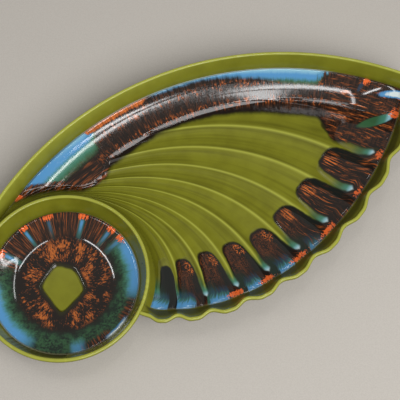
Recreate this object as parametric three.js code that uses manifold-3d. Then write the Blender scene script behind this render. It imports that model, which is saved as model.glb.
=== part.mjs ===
// Chip and dip platter: a slip-cast earthenware tray in the shape of a fluted wing, with a round dip well
// in its corner. The clay is one casting. The poured glazes lie on it as separate fired layers.
// Millimetres, +Z up. The model stands on its foot rings, with the origin under the middle of its box.

import * as THREE from "three";
import { mergeVertices } from "three/addons/utils/BufferGeometryUtils.js";
import Module from "manifold-3d";

// Heights above the table
const LIP_HEIGHT = 36;
const SHOULDER_HEIGHT = 32;
const CREASE_HEIGHT = 19;
const FLOOR_HEIGHT = 10.5;
const WELL_FLOOR_HEIGHT = 9.5;

// Clay wall, lip and ridges
const WALL = 6;
const LIP_WIDTH = 3.5;
const LIP_ROUNDING = 1.5;
const RIDGE_RISE = 1.8;

// Dip well, and the slope from its rim down to the tray floor
const WELL_RADIUS = 75.3;
const WELL_CREASE_INSET = 9.8;
const SHOULDER_SLOPE = 13;

// Long leading edge: an arc that comes closest to the well at its tail, where it runs into the well's lip
const LEADING_RADIUS = 298;
const TAIL_GAP = 11.7;
const TAIL_ANGLE = 158.3;
const TAIL_START_ANGLE = 140;
const TAIL_END_ANGLE = 200;
const TAIL_CHANNEL = 2;
const TAIL_WALL = 0.5;
const TAIL_SINK = 2.6;

// Scalloped edge: a curve from the neck beside the well to the tip, with scallops that widen towards the tip.
// The rim is narrowest at the notches between them, which fall a little behind the ridges of the floor.
const NECK_GAP = 5.7;
const NECK_ANGLE = -24;
const NECK_HANDLE_LENGTH = 131.5;
const NECK_HANDLE_ANGLE = -5.2;
const TIP_INSET = 7;
const TIP_ANGLE = 65.2;
const TIP_HANDLE_LENGTH = 92.8;
const TIP_HANDLE_ANGLE = -101.2;
const SCALLOPS = 10;
const SCALLOP_GROWTH = 0.0488;
const SCALLOP_BULGE = 4.4;
const NECK_NOTCH_WIDTH = 11.6;
const TIP_NOTCH_WIDTH = 8;
const NOTCH_SHARE = 0.4;
const NOTCH_LAG_SHARE = 0.25;
const CREASE_INSET = 8;
const NECK_SINK = 3;

// Tray floor: how far the banks run in from the creases, and how the ridges curl round the well
const APRON_LENGTH = 50;
const BANK_LENGTH = 40;
const RIDGE_CURL = 0.0071;
const RIDGE_CURL_SHARE = 0.29;
const RIDGE_START_ANGLE = 90;

// Foot rings
const FOOT_WIDTH = 6;
const FOOT_ROOT = 1.5;
const WELL_FOOT_RADIUS = 47;
const TRAY_FOOT = { flute: 5.2, flutes: 3.4, run: 0.83, runs: 0.11 };

// Glaze layers, and the seam between one layer and the next
const SEAM = 0.3;
const LINING = 0.6;
const DRIP = 0.9;
const LAYER_MARGIN = 0.6;

// Poured drips
const LEADING_DRIP_WIDTH = 36;
const LEADING_DRIP_TIP_WIDTH = 31;
const LEADING_DRIP_END_ANGLE = 73;
const LEADING_DRIP_TAIL_ANGLE = 140;
const LEADING_DRIP_RING_GAP = 15;
const LEADING_DRIP_ROUNDING = 15;
const LEADING_DRIP_ROUNDING_ANGLE = 12;
const FINGER_LENGTH = 50;
const FINGER_SIDE_SHARE = 0.08;
const WELL_WINDOW = [
  [-8.5, 15],
  [6, 11.5],
  [14.5, -5],
  [-2, -24],
  [-19, -2.5],
];

// Steps of the meshes
const FLUTE_STEPS = 6;
const RUN_STEPS = 26;
const RIM_STEPS = 4;
const TURN_STEPS = 48;
const DISH_STEPS = 6;
const FINGER_STEPS = 6;
const BAND_STEPS = 24;
const FOOT_STEPS = 32;
const OUTSIDE_STEPS = 3;
const RUN_HALVINGS = 24;

const { clamp, lerp, smoothstep, radToDeg, degToRad } = THREE.MathUtils;
const wasm = await Module();
wasm.setup();

// Plan curves, about the axis of the well

function polar(radius, degrees) {
  const angle = degToRad(degrees);
  return new THREE.Vector2(radius * Math.cos(angle), radius * Math.sin(angle));
}

const leadingCentre = polar(WELL_RADIUS + TAIL_GAP - LEADING_RADIUS, TAIL_ANGLE);
const neck = polar(WELL_RADIUS + NECK_GAP, NECK_ANGLE);
const tip = polar(LEADING_RADIUS - TIP_INSET, TIP_ANGLE).add(leadingCentre);
const notchCurve = new THREE.CubicBezierCurve(
  neck,
  polar(NECK_HANDLE_LENGTH, NECK_HANDLE_ANGLE).add(neck),
  polar(TIP_HANDLE_LENGTH, TIP_HANDLE_ANGLE).add(tip),
  tip,
);

// Place along the notch curve of a count of scallops from the neck
function notchShare(flute) {
  const count = clamp(flute, 0, SCALLOPS);
  return (count + SCALLOP_GROWTH * count ** 2) / (SCALLOPS + SCALLOP_GROWTH * SCALLOPS ** 2);
}

function outward(flute) {
  const tangent = notchCurve.getTangentAt(notchShare(flute));
  return new THREE.Vector2(tangent.y, -tangent.x);
}

function creasePoint(flute) {
  return notchCurve.getPointAt(notchShare(flute)).addScaledVector(outward(flute), -CREASE_INSET);
}

// Direction about the axis of the well, from -90 below it round to 270
function degreesOf(point) {
  return radToDeg(Math.atan2(-point.x, point.y)) + 90;
}

const neckReach = creasePoint(0).length();
const joinReach = WELL_RADIUS - NECK_SINK;
const leadingCreaseRadius = creasePoint(SCALLOPS).distanceTo(leadingCentre);
const wellCreaseRadius = WELL_RADIUS - WELL_CREASE_INSET;
const tailRun = (TAIL_END_ANGLE - TAIL_START_ANGLE) / (TAIL_END_ANGLE - degreesOf(creasePoint(SCALLOPS)));

// Distance from the axis of the well, in one direction, to an arc about the leading edge's centre
function arcReach(radius, degrees) {
  const along = leadingCentre.dot(polar(1, degrees));
  return along + Math.sqrt(radius ** 2 - leadingCentre.lengthSq() + along ** 2);
}

// How far the tail has run into the well's lip
function tailShare(degrees) {
  return smoothstep(degrees, TAIL_START_ANGLE, TAIL_END_ANGLE);
}

function innerReach(degrees) {
  return lerp(neckReach, WELL_RADIUS - TAIL_SINK, tailShare(degrees));
}

function creaseReach(degrees) {
  const inner = innerReach(degrees);
  const channel = arcReach(leadingCreaseRadius, Math.min(degrees, TAIL_ANGLE)) - inner;
  return inner + lerp(Math.max(channel, TAIL_CHANNEL), TAIL_CHANNEL, tailShare(degrees));
}

// Point of the tray floor: flute counts scallops from the well to the leading edge, and run goes from the
// tail, 0, to the crease of the scalloped edge, 1. Whole flutes are the ridges.
function floorPoint(flute, run) {
  const end = creasePoint(flute);
  const endDegrees = degreesOf(end);
  const degrees = lerp(TAIL_END_ANGLE, endDegrees, run);
  const inner = innerReach(degrees);
  if (flute <= 0) {
    return polar(lerp(inner, joinReach, -flute), degrees);
  }
  const endInner = innerReach(endDegrees);
  const endShare = (end.length() - endInner) / (creaseReach(endDegrees) - endInner);
  const curl = RIDGE_CURL * (1 - Math.exp(-endShare / RIDGE_CURL_SHARE)) * (degrees - endDegrees);
  const even = smoothstep(degrees, RIDGE_START_ANGLE, TAIL_START_ANGLE);
  const share = lerp(endShare ** (1 + curl), flute / SCALLOPS, even);
  return polar(lerp(inner, creaseReach(degrees), share), degrees);
}

// Run at which a flute lies at a distance from its crease
function runAt(flute, distance) {
  const end = creasePoint(flute);
  let near = 1;
  let far = tailRun;
  for (let halving = 0; halving < RUN_HALVINGS; halving += 1) {
    const middle = (near + far) / 2;
    if (floorPoint(flute, middle).distanceTo(end) < distance) {
      near = middle;
    } else {
      far = middle;
    }
  }
  return near;
}

// Heights of the clay

function fall(share) {
  return (1 - clamp(share, 0, 1)) ** 2;
}

function shoulderShare(point) {
  return fall((point.length() - WELL_RADIUS) / SHOULDER_SLOPE);
}

function dishHeight(flute, point) {
  const apron = fall(point.distanceTo(creasePoint(flute)) / APRON_LENGTH);
  const bank = fall((leadingCreaseRadius - point.distanceTo(leadingCentre)) / BANK_LENGTH);
  const dish = lerp(FLOOR_HEIGHT, CREASE_HEIGHT, apron + bank - apron * bank);
  return lerp(dish, SHOULDER_HEIGHT, shoulderShare(point));
}

function ridgeHeight(flute, point) {
  const ridge = clamp(Math.round(flute), 1, SCALLOPS - 1);
  const sharpness = fall(2 * Math.abs(flute - ridge));
  const faded = smoothstep(degreesOf(point), RIDGE_START_ANGLE, TAIL_START_ANGLE);
  return RIDGE_RISE * sharpness * (1 - faded) * (1 - shoulderShare(point));
}

function floorHeight(flute, point) {
  return dishHeight(flute, point) + ridgeHeight(flute, point);
}

function wellHeight(radius) {
  return lerp(WELL_FLOOR_HEIGHT, CREASE_HEIGHT, (radius / wellCreaseRadius) ** 2);
}

// Rim: the wall and lip outside the creases, in RIM_STEPS steps from the crease to the outer edge

function rimOffset(step, width) {
  const lip = Math.min(LIP_WIDTH, width / 2);
  return [0, (width - lip) / 2, width - lip, width - lip / 2, width][step];
}

function rimTop(step, crease) {
  const shoulder = LIP_HEIGHT - LIP_ROUNDING;
  return [crease, (crease + shoulder) / 2, shoulder, LIP_HEIGHT, shoulder][step];
}

function rimUnder(offset, width, under) {
  return lerp(under, LIP_HEIGHT - 2 * LIP_ROUNDING, (offset / width) ** 2);
}

function leadingWallWidth(degrees) {
  return lerp(LEADING_RADIUS - leadingCreaseRadius, TAIL_WALL, tailShare(degrees));
}

// The lag of the notches is nothing at the neck and the tip, and full two thirds of the way between them
function scallopWallWidth(flute) {
  const share = clamp(flute / SCALLOPS, 0, 1);
  const count = share * SCALLOPS - NOTCH_LAG_SHARE * (27 / 4) * share ** 2 * (1 - share);
  const bulge = smoothstep(Math.abs(count - Math.round(count)), 0, NOTCH_SHARE);
  return lerp(NECK_NOTCH_WIDTH, TIP_NOTCH_WIDTH, share) + SCALLOP_BULGE * bulge;
}

// Where a step out from the crease lies: along the leading edge, along the scallops, or round the tip
function rimStation(flute, run, leadingStep, scallopStep) {
  const base = floorPoint(flute, run);
  const leadingOut = base.clone().sub(leadingCentre).normalize();
  const scallopOut = outward(flute);
  const step = Math.max(leadingStep, scallopStep);
  const turn = (1 + (leadingStep - scallopStep) / Math.max(step, 1)) / 2;
  const direction = scallopOut.lerp(leadingOut, turn).normalize();
  const width = lerp(scallopWallWidth(flute), leadingWallWidth(degreesOf(base)), turn);
  const offset = rimOffset(step, width);
  const crease = floorHeight(flute, base);
  return {
    point: base.clone().addScaledVector(direction, offset),
    top: step ? rimTop(step, crease) : crease,
    under: rimUnder(offset, width, dishHeight(flute, base) - WALL),
  };
}

// Solids

function steps(count) {
  return Array.from({ length: count + 1 }, (_, index) => index / count);
}

// Runs are closer together towards the scalloped edge, where the floor curves most
const RUNS = steps(RUN_STEPS).map((share) => 1 - (1 - share) ** 2);
const FLUTES = steps(SCALLOPS * FLUTE_STEPS).map((share) => share * SCALLOPS);
const RIM = steps(RIM_STEPS).map((share) => share * RIM_STEPS).slice(1);

// Closed solid over a grid of stations, each with a plan point, a top height and an under height
function gridSolid(rows) {
  const width = rows[0].length;
  const count = rows.length * width;
  const positions = [];
  for (const side of ["top", "under"]) {
    for (const station of rows.flat()) {
      positions.push(station.point.x, station.point.y, station[side]);
    }
  }
  const index = [];
  const quad = (a, b, c, d) => index.push(a, b, c, a, c, d);
  const columns = rows[0].map((_, column) => column).slice(1);
  const lines = rows.map((_, row) => row * width).slice(1);
  const border = [
    ...columns.map((column) => column - 1),
    ...lines.map((line) => line - 1),
    ...columns.map((column) => count - width + column).reverse(),
    ...lines.reverse(),
  ];
  for (let row = 0; row < rows.length - 1; row += 1) {
    for (let column = 0; column < width - 1; column += 1) {
      const corner = row * width + column;
      quad(corner, corner + width, corner + width + 1, corner + 1);
      quad(count + corner, count + corner + 1, count + corner + width + 1, count + corner + width);
    }
  }
  border.forEach((start, place) => {
    const next = border[(place + 1) % border.length];
    quad(start, next, count + next, count + start);
  });
  const geometry = new THREE.BufferGeometry();
  geometry.setAttribute("position", new THREE.Float32BufferAttribute(positions, 3));
  geometry.setIndex(index);
  return toSolid(geometry);
}

function toSolid(geometry) {
  geometry.deleteAttribute("normal");
  geometry.deleteAttribute("uv");
  const merged = mergeVertices(geometry);
  return new wasm.Manifold(new wasm.Mesh({
    numProp: 3,
    vertProperties: new Float32Array(merged.attributes.position.array),
    triVerts: new Uint32Array(merged.index.array),
  }));
}

function toGeometry(solid) {
  const mesh = solid.getMesh();
  const geometry = new THREE.BufferGeometry();
  geometry.setAttribute("position", new THREE.BufferAttribute(mesh.vertProperties, 3));
  geometry.setIndex(new THREE.BufferAttribute(mesh.triVerts, 1));
  geometry.computeVertexNormals();
  return geometry;
}

// Solid turned about the axis of the well from a profile of [radius, height] points
function turned(profile) {
  const points = profile.map(([radius, height]) => new THREE.Vector2(radius, height));
  return toSolid(new THREE.LatheGeometry(points, TURN_STEPS).rotateX(Math.PI / 2));
}

function prism(outline, bottom, top, hole) {
  const shape = new THREE.Shape(outline);
  if (hole) {
    shape.holes.push(new THREE.Path(hole));
  }
  const geometry = new THREE.ExtrudeGeometry(shape, { depth: top - bottom, bevelEnabled: false });
  return toSolid(geometry.translate(0, 0, bottom));
}

// Clay casting: tray, well and foot rings in one piece

function traySolid() {
  const flutes = [-1, -0.5, ...FLUTES];
  const row = (run, scallopStep) => [
    ...flutes.map((flute) => rimStation(flute, run, 0, scallopStep)),
    ...RIM.map((step) => rimStation(SCALLOPS, run, step, scallopStep)),
  ];
  return gridSolid([...RUNS.map((run) => row(run, 0)), ...RIM.map((step) => row(1, step))]);
}

function wellSolid() {
  const dish = steps(DISH_STEPS).map((share) => share * wellCreaseRadius);
  const under = (radius) => [radius, wellHeight(radius) - WALL];
  const footInner = WELL_FOOT_RADIUS - FOOT_WIDTH / 2;
  const footOuter = WELL_FOOT_RADIUS + FOOT_WIDTH / 2;
  const outside = steps(OUTSIDE_STEPS).slice(1).map((share) => share * WELL_CREASE_INSET);
  const lip = [4, 3, 2].map((step) => [
    wellCreaseRadius + rimOffset(step, WELL_CREASE_INSET),
    rimTop(step, CREASE_HEIGHT),
  ]);
  return turned([
    under(0),
    under(footInner / 2),
    under(footInner),
    [footInner, 0],
    [footOuter, 0],
    under(footOuter),
    under(wellCreaseRadius),
    ...outside.map((offset) => [
      wellCreaseRadius + offset,
      rimUnder(offset, WELL_CREASE_INSET, CREASE_HEIGHT - WALL),
    ]),
    ...lip,
    ...dish.reverse().map((radius) => [radius, wellHeight(radius)]),
  ]);
}

function trayFootSolid() {
  const line = steps(FOOT_STEPS).slice(1).map((share) => {
    const angle = share * 2 * Math.PI;
    const flute = TRAY_FOOT.flute + TRAY_FOOT.flutes * Math.cos(angle);
    return floorPoint(flute, TRAY_FOOT.run - TRAY_FOOT.runs * Math.sin(angle));
  });
  const shifted = (distance) => line.map((point, place) => {
    const before = line[(place + line.length - 1) % line.length];
    const after = line[(place + 1) % line.length];
    const along = after.clone().sub(before).normalize();
    return point.clone().add(new THREE.Vector2(along.y, -along.x).multiplyScalar(distance));
  });
  const top = FLOOR_HEIGHT - WALL + FOOT_ROOT;
  return prism(shifted(FOOT_WIDTH / 2), 0, top, shifted(-FOOT_WIDTH / 2));
}

const claySolid = traySolid().add(wellSolid()).add(trayFootSolid());

// Glaze coats: skins that follow the clay inside the creases, lifted clear of what lies under them

const coatRuns = RUNS.filter((run) => run > tailRun);

function trayCoat(lift, thickness) {
  return gridSolid(coatRuns.map((run) => FLUTES.map((flute) => {
    const point = floorPoint(flute, run);
    const under = floorHeight(flute, point) + lift;
    return { point, under, top: under + thickness };
  })));
}

function wellCoat(lift, thickness) {
  const radii = steps(DISH_STEPS).map((share) => share * (wellCreaseRadius - LAYER_MARGIN));
  const skin = (offset) => radii.map((radius) => [radius, wellHeight(radius) + offset]);
  return turned([...skin(lift), ...skin(lift + thickness).reverse()]);
}

const liningLift = SEAM;
const dripLift = SEAM + LINING + SEAM;
const dripTop = LIP_HEIGHT;
const dripCoat = trayCoat(dripLift, DRIP);

// Drip along the leading edge: a broad band under the crease that fills the tail beside the well
function leadingDripOutline() {
  const turn = (radius, degrees) => polar(radius, degrees).add(leadingCentre);
  const outerRadius = leadingCreaseRadius - LAYER_MARGIN;
  const about = (degrees, radius) => {
    const reach = arcReach(radius, degrees);
    return degreesOf(polar(reach, degrees).sub(leadingCentre));
  };
  const tailTurn = about(LEADING_DRIP_TAIL_ANGLE, outerRadius);
  const endTurn = about(LEADING_DRIP_END_ANGLE, leadingCreaseRadius - LEADING_DRIP_WIDTH);
  const tipTurn = degreesOf(creasePoint(SCALLOPS).sub(leadingCentre));
  const outer = steps(BAND_STEPS).map((share) => turn(outerRadius, lerp(tailTurn, tipTurn, share)));
  outer.pop();
  const inner = steps(BAND_STEPS).map((share) => {
    const width = lerp(LEADING_DRIP_TIP_WIDTH, LEADING_DRIP_WIDTH, share);
    return turn(leadingCreaseRadius - width, lerp(tipTurn, endTurn, share));
  });
  const ringReach = WELL_RADIUS + LEADING_DRIP_RING_GAP;
  const tail = steps(BAND_STEPS).map((share) => {
    const degrees = lerp(LEADING_DRIP_END_ANGLE, LEADING_DRIP_TAIL_ANGLE, share);
    const rounding = fall((degrees - LEADING_DRIP_END_ANGLE) / LEADING_DRIP_ROUNDING_ANGLE);
    const reach = ringReach + LEADING_DRIP_ROUNDING * rounding;
    return polar(Math.min(reach, arcReach(outerRadius - LAYER_MARGIN, degrees)), degrees);
  });
  return [...outer, ...inner, ...tail];
}

// Drip in one flute: a finger with a round tip that runs in from the scalloped edge
function fingerOutline(finger) {
  const middle = finger - 0.5;
  const side = (sign) => steps(FINGER_STEPS).map((share) => {
    const turn = share * Math.PI / 2;
    const halfWidth = (0.5 - FINGER_SIDE_SHARE) * Math.sqrt(Math.cos(turn));
    const run = runAt(middle, lerp(LAYER_MARGIN, FINGER_LENGTH, Math.sin(turn)));
    return floorPoint(middle + sign * halfWidth, run);
  });
  return [...side(-1), ...side(1).reverse().slice(1)];
}

function dripSolid(outline) {
  return dripCoat.intersect(prism(outline, 0, dripTop));
}

// Drip round the well, with a bare window at its middle
function wellDripSolid() {
  const outline = WELL_WINDOW.map(([x, y]) => new THREE.Vector2(x, y));
  const window = new THREE.SplineCurve([...outline, outline[0]]).getPoints(BAND_STEPS).slice(1);
  return wellCoat(dripLift, DRIP).subtract(prism(window, 0, dripTop));
}

// Finishes

const oliveGlaze = new THREE.MeshStandardMaterial({ color: 0x70741f, roughness: 0.25, metalness: 0 });
const lavaGlaze = new THREE.MeshStandardMaterial({ color: 0x5a3418, roughness: 0.2, metalness: 0 });
const glazedClay = new THREE.MeshStandardMaterial({ color: 0x83882c, roughness: 0.3, metalness: 0 });

// Assembly

const platter = new THREE.Group();

function place(name, solid, material) {
  const mesh = new THREE.Mesh(toGeometry(solid), material);
  mesh.name = name;
  platter.add(mesh);
  return mesh;
}

const casting = place("clay_body", claySolid, glazedClay);
place("tray_lining_glaze", trayCoat(liningLift, LINING), oliveGlaze);
place("well_lining_glaze", wellCoat(liningLift, LINING), oliveGlaze);
place("well_drip_glaze", wellDripSolid(), lavaGlaze);
place("leading_drip_glaze", dripSolid(leadingDripOutline()), lavaGlaze);
for (let finger = 1; finger < SCALLOPS; finger += 1) {
  place(`scallop_drip_glaze_${finger}`, dripSolid(fingerOutline(finger)), lavaGlaze);
}

const middle = new THREE.Box3().setFromObject(casting).getCenter(new THREE.Vector3());
platter.position.set(-middle.x, -middle.y, 0);

export default platter;
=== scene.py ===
import math
import bpy
import numpy as np
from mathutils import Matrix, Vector


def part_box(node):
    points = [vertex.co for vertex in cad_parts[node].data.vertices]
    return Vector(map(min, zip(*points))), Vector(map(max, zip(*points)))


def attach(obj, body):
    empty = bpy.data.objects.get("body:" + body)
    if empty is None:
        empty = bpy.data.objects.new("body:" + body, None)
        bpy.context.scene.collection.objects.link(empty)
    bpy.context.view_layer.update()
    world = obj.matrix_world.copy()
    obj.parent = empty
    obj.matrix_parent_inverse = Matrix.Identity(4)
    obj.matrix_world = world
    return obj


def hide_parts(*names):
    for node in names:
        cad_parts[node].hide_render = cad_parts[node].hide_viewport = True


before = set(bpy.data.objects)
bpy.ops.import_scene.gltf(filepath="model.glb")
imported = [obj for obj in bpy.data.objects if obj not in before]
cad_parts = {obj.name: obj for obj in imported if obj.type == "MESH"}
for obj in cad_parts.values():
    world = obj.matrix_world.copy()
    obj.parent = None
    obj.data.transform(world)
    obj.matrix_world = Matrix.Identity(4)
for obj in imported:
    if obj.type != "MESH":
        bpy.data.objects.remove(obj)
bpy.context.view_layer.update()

# Clay casting
# Slip-cast earthenware, poured in one plaster mould: a tray like a fluted wing, a round dip well in its
# corner and two foot rings. A thin olive glaze covers it, wiped off the rings on which it stands in the kiln.

MM = 0.001
LIP_HEIGHT = 36 * MM
SHOULDER_HEIGHT = 32 * MM
CREASE_HEIGHT = 19 * MM
FLOOR_HEIGHT = 10.5 * MM
WELL_FLOOR_HEIGHT = 9.5 * MM
WALL = 6 * MM
LIP_WIDTH = 3.5 * MM
LIP_ROUNDING = 1.5 * MM
RIDGE_RISE = 1.8 * MM
WELL_RADIUS = 75.3 * MM
WELL_CREASE_RADIUS = 65.5 * MM
SHOULDER_SLOPE = 13 * MM
LEADING_RADIUS = 298 * MM
TAIL_GAP = 11.7 * MM
TAIL_ANGLE = 158.3
TAIL_START_ANGLE = 140
TAIL_END_ANGLE = 200
TAIL_CHANNEL = 2 * MM
TAIL_WALL = 0.5 * MM
TAIL_SINK = 2.6 * MM
SCALLOPS = 10
SCALLOP_GROWTH = 0.0488
SCALLOP_BULGE = 4.4 * MM
NECK_NOTCH_WIDTH = 11.6 * MM
TIP_NOTCH_WIDTH = 8 * MM
NOTCH_SHARE = 0.4
NOTCH_LAG_SHARE = 0.25
CREASE_INSET = 8 * MM
NECK_SINK = 3 * MM
APRON_LENGTH = 50 * MM
BANK_LENGTH = 40 * MM
RIDGE_CURL = 0.0071
RIDGE_CURL_SHARE = 0.29
RIDGE_START_ANGLE = 90
FOOT_WIDTH = 6 * MM
FOOT_ROOT = 1.5 * MM
FOOT_ROUNDING = 1 * MM
WELL_FOOT_RADIUS = 47 * MM

well_low, well_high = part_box("well_drip_glaze")
WELL_AXIS = np.array([(well_low[0] + well_high[0]) / 2, (well_low[1] + well_high[1]) / 2])


def lerp(start, end, share):
    return start + (end - start) * share


def smoothstep(value, start, end):
    share = np.clip((value - start) / (end - start), 0, 1)
    return share * share * (3 - 2 * share)


def polar(radius, degrees):
    angle = np.radians(degrees)
    return np.stack([radius * np.cos(angle), radius * np.sin(angle)], -1)


def length(points):
    return np.linalg.norm(points, axis=-1)


def unit(points):
    return points / np.maximum(length(points), 1e-9)[..., None]


# Plan curves, about the axis of the well
leading_centre = polar(WELL_RADIUS + TAIL_GAP - LEADING_RADIUS, TAIL_ANGLE)
neck = polar(WELL_RADIUS + 5.7 * MM, -24)
tip = polar(LEADING_RADIUS - 7 * MM, 65.2) + leading_centre
handles = [neck, neck + polar(131.5 * MM, -5.2), tip + polar(92.8 * MM, -101.2), tip]
share = np.linspace(0, 1, 2001)[:, None]
bends = [(1 - share) ** 3, 3 * (1 - share) ** 2 * share, 3 * (1 - share) * share ** 2, share ** 3]
notch_line = sum(bend * handle for bend, handle in zip(bends, handles))
notch_tangent = unit(np.gradient(notch_line, axis=0))
notch_distance = np.concatenate([[0], np.cumsum(length(np.diff(notch_line, axis=0)))])


def along_notches(line, flute):
    count = np.clip(flute, 0, SCALLOPS)
    share = (count + SCALLOP_GROWTH * count ** 2) / (SCALLOPS + SCALLOP_GROWTH * SCALLOPS ** 2)
    distance = share * notch_distance[-1]
    return np.stack([np.interp(distance, notch_distance, line[:, axis]) for axis in (0, 1)], -1)


def outward(flute):
    tangent = along_notches(notch_tangent, flute)
    return unit(np.stack([tangent[..., 1], -tangent[..., 0]], -1))


def crease_point(flute):
    return along_notches(notch_line, flute) - CREASE_INSET * outward(flute)


# Direction about the axis of the well, from -90 below it round to 270
def degrees_of(points):
    return np.degrees(np.arctan2(-points[..., 0], points[..., 1])) + 90


neck_reach = length(crease_point(0))
join_reach = WELL_RADIUS - NECK_SINK
leading_crease_radius = length(crease_point(SCALLOPS) - leading_centre)
tip_turn = degrees_of(crease_point(SCALLOPS) - leading_centre)
tail_run = (TAIL_END_ANGLE - TAIL_START_ANGLE) / (TAIL_END_ANGLE - degrees_of(crease_point(SCALLOPS)))


def arc_reach(radius, degrees):
    along = (leading_centre * polar(1, degrees)).sum(-1)
    return along + np.sqrt(radius ** 2 - leading_centre @ leading_centre + along ** 2)


def tail_share(degrees):
    return smoothstep(degrees, TAIL_START_ANGLE, TAIL_END_ANGLE)


def inner_reach(degrees):
    return lerp(neck_reach, WELL_RADIUS - TAIL_SINK, tail_share(degrees))


def crease_reach(degrees):
    inner = inner_reach(degrees)
    channel = arc_reach(leading_crease_radius, np.minimum(degrees, TAIL_ANGLE)) - inner
    return inner + lerp(np.maximum(channel, TAIL_CHANNEL), TAIL_CHANNEL, tail_share(degrees))


# Share of the way from the well to the leading edge at which a flute lies, in one direction
def flute_share(flute, degrees):
    end = crease_point(flute)
    end_degrees = degrees_of(end)
    inner = inner_reach(end_degrees)
    end_share = np.maximum((length(end) - inner) / (crease_reach(end_degrees) - inner), 1e-9)
    curl = RIDGE_CURL * (1 - np.exp(-end_share / RIDGE_CURL_SHARE)) * (degrees - end_degrees)
    even = smoothstep(degrees, RIDGE_START_ANGLE, TAIL_START_ANGLE)
    return lerp(end_share ** (1 + curl), flute / SCALLOPS, even)


# Flute counts scallops from the well to the leading edge, and run goes from the tail to the scalloped edge
def floor_point(flute, run):
    degrees = lerp(TAIL_END_ANGLE, degrees_of(crease_point(flute)), run)
    inner = inner_reach(degrees)
    reach = lerp(inner, crease_reach(degrees), flute_share(np.maximum(flute, 0), degrees))
    return polar(np.where(flute <= 0, lerp(inner, join_reach, -flute), reach), degrees)


# The flute on which any point of the floor lies, by halving
def flute_at(points):
    degrees = degrees_of(points)
    inner = inner_reach(degrees)
    share = (length(points) - inner) / (crease_reach(degrees) - inner)
    near, far = np.zeros_like(degrees), np.full_like(degrees, SCALLOPS)
    for halving in range(26):
        middle = (near + far) / 2
        short = flute_share(middle, degrees) < share
        near, far = np.where(short, middle, near), np.where(short, far, middle)
    return (near + far) / 2


# The lag of the notches is nothing at the neck and the tip, and full two thirds of the way between them
def scallop_wall_width(flute):
    share = np.clip(flute / SCALLOPS, 0, 1)
    count = share * SCALLOPS - NOTCH_LAG_SHARE * (27 / 4) * share ** 2 * (1 - share)
    bulge = smoothstep(np.abs(count - np.round(count)), 0, NOTCH_SHARE)
    return lerp(NECK_NOTCH_WIDTH, TIP_NOTCH_WIDTH, share) + SCALLOP_BULGE * bulge


# A flat plan of part of the platter, with the places that the fluting and the glazes read from it
def plan_mesh(name, points, flute, faces=(), edges=(), base=None, **readings):
    base = points if base is None else base
    mesh = bpy.data.meshes.new(name)
    flat = np.zeros((len(points), 3))
    flat[:, :2] = points + WELL_AXIS
    mesh.from_pydata(flat.tolist(), edges, faces)
    bearing = degrees_of(base)
    readings.update(
        flute=flute,
        reach=length(base - crease_point(flute)),
        bank=leading_crease_radius - length(base - leading_centre),
        along=np.radians(147.4 - degrees_of(base - leading_centre)) * leading_crease_radius,
        ring=length(base) - WELL_RADIUS,
        bearing=bearing,
        fade=smoothstep(bearing, RIDGE_START_ANGLE, TAIL_START_ANGLE),
    )
    for reading, values in readings.items():
        layer = mesh.attributes.new(reading, "FLOAT", "POINT")
        layer.data.foreach_set("value", np.asarray(values, dtype=np.float32).ravel())
    return mesh


def grid_faces(rows, columns):
    corner = (np.arange(rows - 1)[:, None] * columns + np.arange(columns - 1)).ravel()
    return np.stack([corner, corner + columns, corner + columns + 1, corner + 1], -1).tolist()


# A number that changes over a mesh or a surface, held by a node's socket
class Field:
    def __init__(self, tree, socket):
        self.tree = tree
        self.socket = socket

    def math(self, operation, *others):
        node = self.tree.nodes.new("ShaderNodeMath")
        node.operation = operation
        for place, value in enumerate((self, *others)):
            connect(self.tree, value, node.inputs[place])
        return Field(self.tree, node.outputs[0])

    def __add__(self, other):
        return self.math("ADD", other)

    def __sub__(self, other):
        return self.math("SUBTRACT", other)

    def __mul__(self, other):
        return self.math("MULTIPLY", other)

    def __truediv__(self, other):
        return self.math("DIVIDE", other)

    def __pow__(self, other):
        return self.math("POWER", other)

    def __rsub__(self, other):
        return (self * -1) + other

    __radd__ = __add__
    __rmul__ = __mul__

    def abs(self):
        return self.math("ABSOLUTE")

    def squared(self):
        return self.math("MULTIPLY", self)

    def smooth(self, start, end):
        links = {"Value": self, "From Min": start, "From Max": end}
        node = node_of(self.tree, "ShaderNodeMapRange", links, interpolation_type="SMOOTHSTEP")
        return Field(self.tree, node.outputs["Result"])

    def fall(self):
        return (1 - self.math("MAXIMUM", 0).math("MINIMUM", 1)).squared()


def connect(tree, value, socket):
    if isinstance(value, Field):
        value = value.socket
    if isinstance(value, bpy.types.NodeSocket):
        tree.links.new(value, socket)
    else:
        socket.default_value = value


def node_of(tree, kind, links, **settings):
    node = tree.nodes.new(kind)
    for name, value in settings.items():
        setattr(node, name, value)
    for socket, value in links.items():
        connect(tree, value, node.inputs[socket])
    return node


def sized_tree(name, numbers):
    tree = bpy.data.node_groups.new(name, "GeometryNodeTree")
    tree.interface.new_socket("Geometry", in_out="INPUT", socket_type="NodeSocketGeometry")
    for number in numbers:
        tree.interface.new_socket(number, in_out="INPUT", socket_type="NodeSocketFloat")
    tree.interface.new_socket("Material", in_out="INPUT", socket_type="NodeSocketMaterial")
    tree.interface.new_socket("Geometry", in_out="OUTPUT", socket_type="NodeSocketGeometry")
    given = tree.nodes.new("NodeGroupInput").outputs
    return tree, given, {number: Field(tree, given[number]) for number in numbers}


def finish_tree(tree, geometry, given):
    real = node_of(tree, "GeometryNodeRealizeInstances", {"Geometry": geometry})
    coated = node_of(tree, "GeometryNodeSetMaterial", {
        "Geometry": real.outputs[0], "Material": given["Material"]})
    node_of(tree, "NodeGroupOutput", {0: coated.outputs[0]})


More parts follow.
